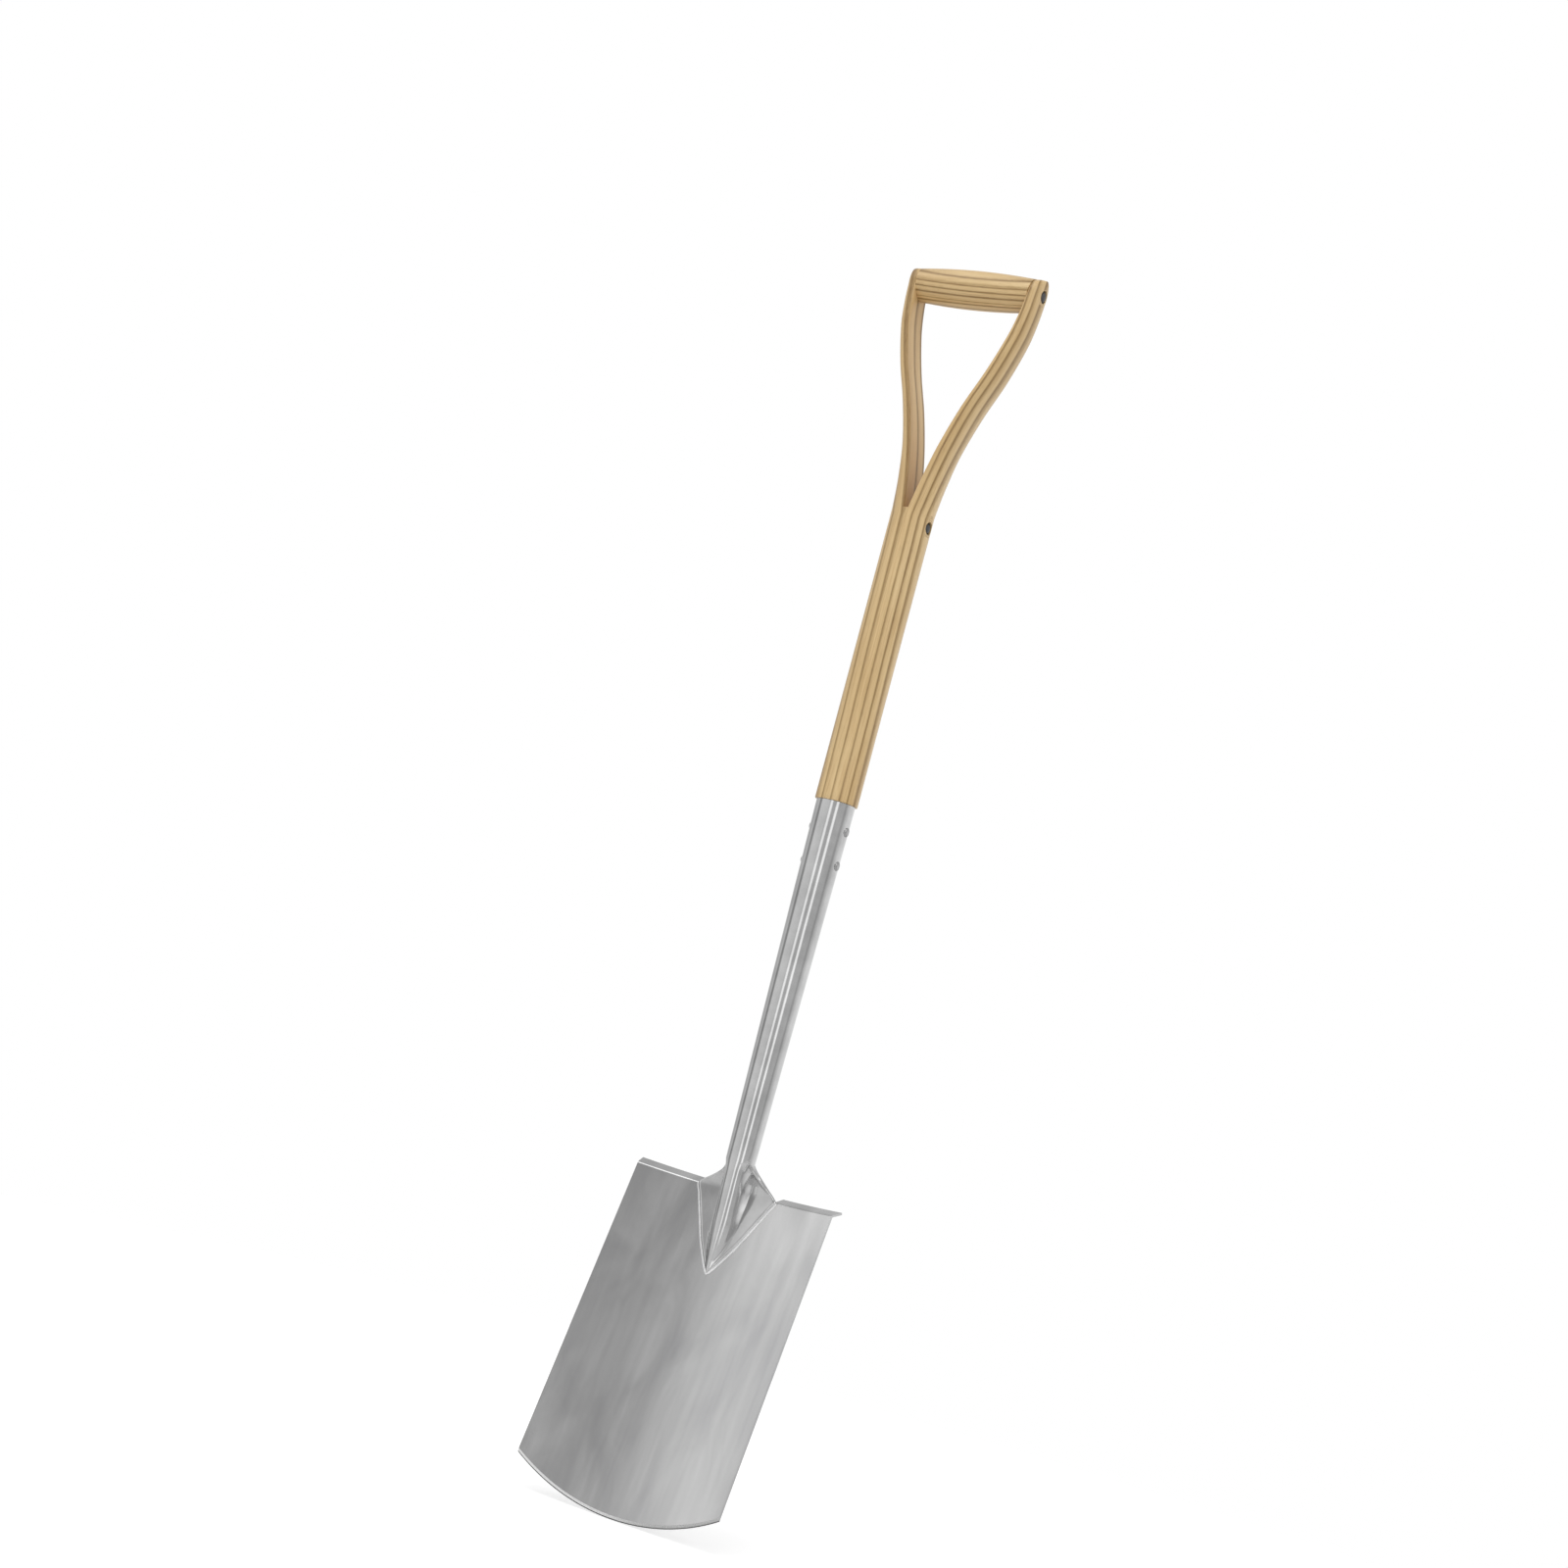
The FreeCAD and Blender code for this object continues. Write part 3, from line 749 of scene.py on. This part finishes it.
def arm_section(inner, outer, half, lean, corner, fullness):
    """Half of an arm's outline: outer curve, back to front, then the inner face's points."""
    corner = min(corner, CORNER_SHARE * half, CORNER_SHARE * (outer - inner))
    middle = inner + corner
    round_side = []
    for i in range(OUTER_STEPS + 1):
        angle = math.pi * (0.5 - i / OUTER_STEPS)
        across, along = max(0.0, math.cos(angle)), math.sin(angle)
        y = half * math.copysign(abs(along) ** fullness, along)
        round_side.append((middle + (outer - middle) * across**fullness, y + lean))
    flat_side = []
    for i in range(1, CORNER_STEPS + 1):
        angle = math.pi / 2 * i / CORNER_STEPS
        edge = half - corner * (1 - math.cos(angle))
        flat_side.append((middle - corner * math.sin(angle), -edge))
    depth = half - corner
    for i in range(1, INNER_STEPS):
        flat_side.append((inner, -depth + 2 * depth * i / INNER_STEPS))
    for i in range(CORNER_STEPS, 0, -1):
        angle = math.pi / 2 * i / CORNER_STEPS
        edge = half - corner * (1 - math.cos(angle))
        flat_side.append((middle - corner * math.sin(angle), edge))
    flat_side = [(x, y + lean) for x, y in flat_side]
    return round_side, flat_side


def arm_heights():
    """(height, half depth factor, outer corner cut) for each ring of an arm."""
    rings = []
    steps = round((GRIP_HEIGHT - KERF_FOOT) / RING_SPACING)
    for i in range(steps + 1):
        rings.append((KERF_FOOT + (GRIP_HEIGHT - KERF_FOOT) * i / steps, 1.0, 0.0))
    for i in range(1, CAP_STEPS):
        angle = math.pi / 2 * i / CAP_STEPS
        height = GRIP_HEIGHT + ARM_END_RADIUS * math.sin(angle)
        late = max(0.0, (i / CAP_STEPS - CUT_START) / (1 - CUT_START))
        cut = ARM_CORNER_CUT * (1 - math.cos(math.pi / 2 * late))
        rings.append((height, math.cos(angle), cut))
    return rings


def arm_rings(skin, side):
    """Rings of one arm, from the kerf's foot to its rounded end."""
    outer_rows, inner_rows = [], []
    run, previous = 0.0, None
    for height, share, cut in arm_heights():
        inner, outer, half, lean = smooth_table(ARM_STATIONS, height)
        if height > GRIP_HEIGHT:
            over = height - GRIP_HEIGHT
            inner += ARM_END_INNER_LEAN * over
            outer += ARM_END_OUTER_LEAN * over - cut
        fullness = 1.0 - ARM_SQUARENESS * smoothstep(KERF_FOOT, 640.0, height)
        section = arm_section(inner, outer, half * share, lean, corner_radius(height), fullness)
        centre = Vector(((inner + outer) / 2, lean, height))
        if previous is not None:
            run += (centre - previous).length
        previous = centre
        rows = []
        for points in section:
            row = []
            for x, y in points:
                grain = (side * (x - inner + GRAIN_INSET), y - lean, KERF_FOOT + run)
                row.append(skin.add((side * x, y, height), grain))
            rows.append(row)
        outer_rows.append(rows[0])
        inner_rows.append(rows[1])
    return outer_rows, inner_rows


def seat_cutter(height, setback, seat_x):
    """Closed mesh of the two flat seats that the washers sit in."""
    work = bmesh.new()
    for side in (-1, 1):
        rims = []
        for x in (seat_x, seat_x + SEAT_REACH):
            rim = []
            for angle in turns(SEAT_SIDES):
                point = Vector((side * x, setback + SEAT_RADIUS * math.cos(angle),
                                height + SEAT_RADIUS * math.sin(angle)))
                rim.append(work.verts.new(ORIGIN + point * MM))
            rims.append(rim)
        for i in range(SEAT_SIDES):
            j = (i + 1) % SEAT_SIDES
            work.faces.new((rims[0][i], rims[0][j], rims[1][j], rims[1][i]))
        for rim in rims:
            work.faces.new(rim)
    bmesh.ops.recalc_face_normals(work, faces=work.faces)
    mesh = bpy.data.meshes.new("seat_cutter")
    work.to_mesh(mesh)
    work.free()
    cutter = bpy.data.objects.new("seat_cutter", mesh)
    bpy.context.scene.collection.objects.link(cutter)
    return cutter


def cut_seats(piece):
    """Cuts the washers' seats and keeps the result as the piece's mesh."""
    for height, setback, seat_x in ((CROTCH_RIVET_HEIGHT, 0.0, CROTCH_SEAT_X),
                                    (GRIP_HEIGHT, GRIP_SETBACK, GRIP_SEAT_X)):
        cutter = seat_cutter(height, setback, seat_x)
        cut = piece.modifiers.new("seats", "BOOLEAN")
        cut.operation, cut.solver, cut.object = "DIFFERENCE", "EXACT", cutter
        bpy.context.view_layer.update()
        result = bpy.data.meshes.new_from_object(
            piece.evaluated_get(bpy.context.evaluated_depsgraph_get()))
        piece.modifiers.clear()
        piece.data = result
        bpy.data.objects.remove(cutter)
    piece.data.shade_smooth()
    piece.data.set_sharp_from_angle(angle=math.radians(40))


def make_handle(material):
    skin = Skin()
    right_outer, right_inner = arm_rings(skin, 1)
    left_outer, left_inner = arm_rings(skin, -1)
    for outer, inner in ((right_outer, right_inner), (left_outer, left_inner)):
        skin.grid([a + b for a, b in zip(outer, inner)], closed=True)
        skin.faces.append(outer[-1] + inner[-1])
    floor_right = [right_outer[0][-1]] + right_inner[0] + [right_outer[0][0]]
    floor_left = [left_outer[0][-1]] + left_inner[0] + [left_outer[0][0]]
    skin.grid([floor_right, floor_left])
    rings = [right_outer[0] + list(reversed(left_outer[0]))]
    shape = [(skin.points[v][0], skin.points[v][1]) for v in rings[0]]
    shoulder = SOCKET_TOP + SHAFT_CHAMFER
    sizes = [(KERF_FOOT + (shoulder - KERF_FOOT) * i / SHAFT_STEPS, 1.0)
             for i in range(1, SHAFT_STEPS + 1)]
    inside = (SOCKET_TOP_RADIUS - SOCKET_WALL - TENON_GAP) / SHAFT_RADIUS
    sizes += [(SOCKET_TOP + 0.25, 1 - 0.3 * SHAFT_CHAMFER / SHAFT_RADIUS),
              (SOCKET_TOP, 1 - SHAFT_CHAMFER / SHAFT_RADIUS), (SOCKET_TOP, inside),
              (SOCKET_TOP - TENON_SEEN, inside)]
    for height, scale in sizes:
        rings.append([skin.add((x * scale, y * scale, height)) for x, y in shape])
    skin.grid(rings, closed=True)
    skin.faces.append(rings[-1])
    handle = skin.piece("ash_handle", material, ["handle_shaft"], "ash_wood", 40.0, grain=True)
    cut_seats(handle)
    return handle


def make_grip(material):
    """Turned barrel whose ends meet the arms' inner faces. Its grain runs along it."""
    skin = Skin()
    rings = []
    for i in range(GRIP_ALONG + 1):
        s = 2 * i / GRIP_ALONG - 1
        ring = []
        for angle in turns(GRIP_AROUND):
            radius = GRIP_MID_RADIUS - (GRIP_MID_RADIUS - GRIP_END_RADIUS) * s * s
            z = GRIP_HEIGHT + radius * math.sin(angle)
            end = smooth_table(ARM_STATIONS, z)[0] + GRIP_OVERLAP
            if z > GRIP_HEIGHT:
                end += ARM_END_INNER_LEAN * (z - GRIP_HEIGHT)
            x, y = s * end, GRIP_SETBACK + radius * math.cos(angle)
            ring.append(skin.add((x, y, z), (y - GRIP_SETBACK, z - GRIP_HEIGHT, x)))
        rings.append(ring)
    skin.grid(rings, closed=True)
    skin.faces.extend([rings[0], rings[-1]])
    return skin.piece("turned_grip", material, ["grip"], "grip_wood", 40.0, grain=True)


# ---- rivets and washers ------------------------------------------------------
HEAD_SIDES = 28
HEAD_STEPS = 7
WASHER_SIDES = 40
WASHER_SOFT = 0.25             # rounding of a washer's outer edges


def dome(skin, seat_x, side, height, setback, dent):
    """Domed rivet head with a few hammer flats."""
    rings = []
    for i in range(HEAD_STEPS):
        tilt = math.pi / 2 * i / HEAD_STEPS
        ring = []
        for angle in turns(HEAD_SIDES):
            flat = 1 - HAMMER_FLAT * max(0.0, math.sin(3 * angle + dent)) * math.sin(2 * tilt)
            radius = HEAD_RADIUS * math.cos(tilt) * flat
            rise = HEAD_RIM + (HEAD_HEIGHT - HEAD_RIM) * math.sin(tilt) * flat
            ring.append(skin.add((side * (seat_x + rise), setback + radius * math.cos(angle),
                                  height + radius * math.sin(angle))))
        rings.append(ring)
    foot = [skin.add((side * (seat_x - HEAD_FOOT), *skin.points[v][1:])) for v in rings[0]]
    tip = skin.add((side * (seat_x + HEAD_HEIGHT), setback, height))
    skin.grid([foot] + rings, closed=True)
    top = rings[-1]
    for k in range(HEAD_SIDES):
        skin.faces.append([top[k], top[(k + 1) % HEAD_SIDES], tip])
    return foot


def make_rivet(name, node, height, setback, seat_x, material):
    skin = Skin()
    left = dome(skin, seat_x, -1, height, setback, 0.4)
    right = dome(skin, seat_x, 1, height, setback, 1.9)
    skin.grid([left, right], closed=True)
    return skin.piece(name, material, [node], "rivet_steel", 50.0)


# Washers get a very dark steel: painted shade for the dark crescents round the rivet heads.
def make_washer(name, node, height, setback, seat_x, side, material):
    skin = Skin()
    inner, outer = SHANK_RADIUS, WASHER_RADIUS
    outline = [(inner, 0.0), (outer - WASHER_SOFT, 0.0), (outer, WASHER_SOFT),
               (outer, WASHER_THICKNESS - WASHER_SOFT), (outer - WASHER_SOFT, WASHER_THICKNESS),
               (inner, WASHER_THICKNESS), (inner, 0.0)]
    rings = []
    for radius, rise in outline:
        rings.append([skin.add((side * (seat_x + rise), setback + radius * math.cos(angle),
                                height + radius * math.sin(angle)))
                      for angle in turns(WASHER_SIDES)])
    skin.grid(rings, closed=True)
    return skin.piece(name, material, [node], "washer_steel", 50.0)


# ---- studio ------------------------------------------------------------------
FLOOR_RADIUS = 1.5             # metres
FLOOR_SIDES = 96
FLOOR_DROP = 0.0005            # metres below the cutting edge
FLOOR_GLOW = 0.40              # lifts the floor to white where the camera sees it


def make_floor():
    mesh = bpy.data.meshes.new("studio_floor")
    rim = [(FLOOR_RADIUS * math.cos(angle), FLOOR_RADIUS * math.sin(angle), 0.0)
           for angle in turns(FLOOR_SIDES)]
    mesh.from_pydata(rim, [], [tuple(range(FLOOR_SIDES))])
    floor = bpy.data.objects.new("studio_floor", mesh)
    floor.location.z = -FLOOR_DROP
    bpy.context.scene.collection.objects.link(floor)
    material, g = new_material("studio_white")
    mottle = g.noise(g.position(), 3.0, 2.0)
    g.shade(Base_Color=g.ramp(mottle, ((0.0, 247), (1.0, 250))), Roughness=0.9,
            Specular_IOR_Level=0.1, Emission_Color=(1.0, 1.0, 1.0, 1.0))
    seen = g.node("ShaderNodeLightPath").outputs["Is Camera Ray"]
    g.shade(Emission_Strength=g.math("MULTIPLY", seen, FLOOR_GLOW))
    mesh.materials.append(material)


# Brightness of the studio at the horizon and 30 degrees up: azimuth in degrees
# (0 in front of the spade, 90 on its right), level. The two narrow bright strips
# at the horizon are what the tube mirrors as lines.
HORIZON = (
    (-180, 0.98), (-142, 0.98), (-128, 0.60), (-100, 0.60), (-88, 0.74), (-76, 0.32),
    (-66, 0.36), (-58, 0.84), (-14, 0.76), (-5, 0.64), (-2, 1.32), (7, 1.32), (11, 0.58),
    (29, 0.56), (33, 1.40), (42, 1.40), (46, 0.56), (82, 0.58), (90, 0.44), (96, 0.44),
    (104, 0.62), (130, 0.90), (180, 0.98),
)
UPPER = (
    (-180, 0.60), (-94, 0.58), (-80, 0.96), (-40, 0.98), (-23, 0.46), (40, 0.46), (46, 1.9),
    (80, 1.9), (88, 0.60), (130, 0.84), (150, 0.62), (180, 0.60),
)
PEAK = 4.0                     # the curves hold levels as shares of this
BELOW = 0.50                   # level under the horizon band
ZENITH = 0.60                  # level overhead
# Where each band gives way to the next, as the height of a direction's unit vector.
BELOW_TO_HORIZON = (-0.34, -0.20)
HORIZON_TO_UPPER = (0.16, 0.34)
UPPER_TO_ZENITH = (0.58, 0.74)


def level_curve(g, share, table):
    """Level that follows a table of (azimuth in degrees, level)."""
    curve_node = g.node("ShaderNodeFloatCurve", {"Value": share})
    curve = curve_node.mapping.curves[0]
    points = [((degrees + 180) / 360, level / PEAK) for degrees, level in table]
    curve.points[0].location = points[0]
    curve.points[1].location = points[-1]
    for place in points[1:-1]:
        curve.points.new(*place)
    for point in curve.points:
        point.handle_type = "VECTOR"
    curve_node.mapping.update()
    return g.math("MULTIPLY", curve_node.outputs[0], PEAK)


def make_world():
    """Soft studio, with brighter and darker zones round the spade. The camera sees white."""
    world = bpy.data.worlds.new("studio")
    bpy.context.scene.world = world
    g = Graph(world)
    direction = g.node("ShaderNodeTexCoord").outputs["Generated"]
    parts = g.separate(direction)
    azimuth = g.math("ARCTAN2", parts["X"], g.math("MULTIPLY", parts["Y"], -1.0))
    share = g.math("MULTIPLY_ADD", azimuth, 0.5 / math.pi, 0.5)

    def blend(share, a, b):
        return g.node("ShaderNodeMix", data_type="FLOAT", inputs={0: share, 2: a, 3: b}).outputs[0]

    def fade(band):
        return g.node("ShaderNodeMapRange", {0: parts["Z"], 1: band[0], 2: band[1]},
                      interpolation_type="SMOOTHSTEP").outputs[0]

    level = blend(fade(BELOW_TO_HORIZON), BELOW, level_curve(g, share, HORIZON))
    level = blend(fade(HORIZON_TO_UPPER), level, level_curve(g, share, UPPER))
    level = blend(fade(UPPER_TO_ZENITH), level, ZENITH)
    level = blend(g.node("ShaderNodeLightPath").outputs["Is Camera Ray"], level, 1.0)
    background = g.nodes["Background"]
    g.feed(background.inputs["Color"], g.vector(level, level, level))
    background.inputs["Strength"].default_value = 1.0


def area_light(name, place, target, size, power):
    light = bpy.data.lights.new(name, "AREA")
    light.shape = "RECTANGLE"
    light.size, light.size_y = size
    light.energy = power
    lamp = bpy.data.objects.new(name, light)
    lamp.location = place
    lamp.rotation_mode = "QUATERNION"
    lamp.rotation_quaternion = (Vector(target) - Vector(place)).to_track_quat("-Z", "Y")
    bpy.context.scene.collection.objects.link(lamp)


CAMERA_AZIMUTH = math.radians(26.776)
CAMERA_ELEVATION = math.radians(-4.930)
CAMERA_ROLL = math.radians(14.979)
CAMERA_DISTANCE = 2.226        # metres
CAMERA_AIM = Vector((-25.0, 0.0, 254.025))
SENSOR_WIDTH = 36.0
LENS_RATIO = 1.659375          # focal length as a share of the sensor's width
CAMERA_SHIFT = 0.071875


def make_camera():
    """Viewpoint to the right of the front, a little below the middle and tilted."""
    back = Vector((math.sin(CAMERA_AZIMUTH) * math.cos(CAMERA_ELEVATION),
                   -math.cos(CAMERA_AZIMUTH) * math.cos(CAMERA_ELEVATION),
                   math.sin(CAMERA_ELEVATION)))
    data = bpy.data.cameras.new("camera")
    data.sensor_width = SENSOR_WIDTH
    data.lens = LENS_RATIO * SENSOR_WIDTH
    data.shift_y = CAMERA_SHIFT
    camera = bpy.data.objects.new("camera", data)
    camera.location = ORIGIN + CAMERA_AIM * MM + back * CAMERA_DISTANCE
    camera.rotation_mode = "QUATERNION"
    level = (-back).to_track_quat("-Z", "Y")
    camera.rotation_quaternion = level @ Quaternion((0, 0, 1), CAMERA_ROLL)
    bpy.context.scene.collection.objects.link(camera)
    bpy.context.scene.camera = camera


# Grey level as sRGB, then roughness.
STEELS = {"socket_steel": (205, 0.05), "rivet_steel": (92, 0.34), "weld_steel": (248, 0.26),
          # washers: their dark grey is painted shade round the rivet heads
          "socket_rivet_steel": (176, 0.12), "washer_steel": (60, 0.42),
          # edge land: its dark grey is painted shade along the cutting edge
          "edge_land_painted_shade": (96, 0.30)}


def make_fittings(steels):
    """Rivets and washers of the grip and the crotch, and the rivets of the socket."""
    joints = (("grip", GRIP_HEIGHT, GRIP_SETBACK, GRIP_SEAT_X),
              ("crotch", CROTCH_RIVET_HEIGHT, 0.0, CROTCH_SEAT_X))
    for place, height, setback, seat_x in joints:
        make_rivet(place + "_rivet_heads", place + "_rivet", height, setback,
                   seat_x + WASHER_THICKNESS, steels["rivet_steel"])
    for side, word in ((-1, "left"), (1, "right")):
        for place, height, setback, seat_x in joints:
            make_washer(place + "_plate_" + word, place + "_washer_" + word, height, setback,
                        seat_x, side, steels["washer_steel"])
    for word, height in SOCKET_RIVET_HEIGHTS.items():
        make_rivet("socket_pin_" + word, "socket_rivet_" + word, height, 0.0,
                   neck_radius_at(height) - SOCKET_HEAD_SINK, steels["socket_rivet_steel"])


def main():
    steels = {name: polished_steel(name, *look) for name, look in STEELS.items()}
    make_blade(brushed_plate(), ground_edge(), steels["edge_land_painted_shade"])
    make_socket(steels["socket_steel"])
    make_weld("front_weld", 0.0, steels["weld_steel"])
    make_weld("rear_weld", PLATE, steels["weld_steel"])
    make_handle(ash_wood("ash_wood", ring_centre=(-0.270, -0.132), ring_spacing=0.0068,
                         slope=0.012, seed=0.3))
    make_grip(ash_wood("grip_wood", ring_centre=(0.034, -0.046), ring_spacing=0.0044,
                       slope=0.0, seed=2.6))
    make_fittings(steels)
    make_floor()
    make_world()
    area_light("overhead_softbox", place=(-0.3, -1.0, 2.6), target=(0, 0, 0.8),
               size=(2.4, 1.2), power=12)
    make_camera()
    bpy.context.scene.view_settings.view_transform = "Standard"


main()
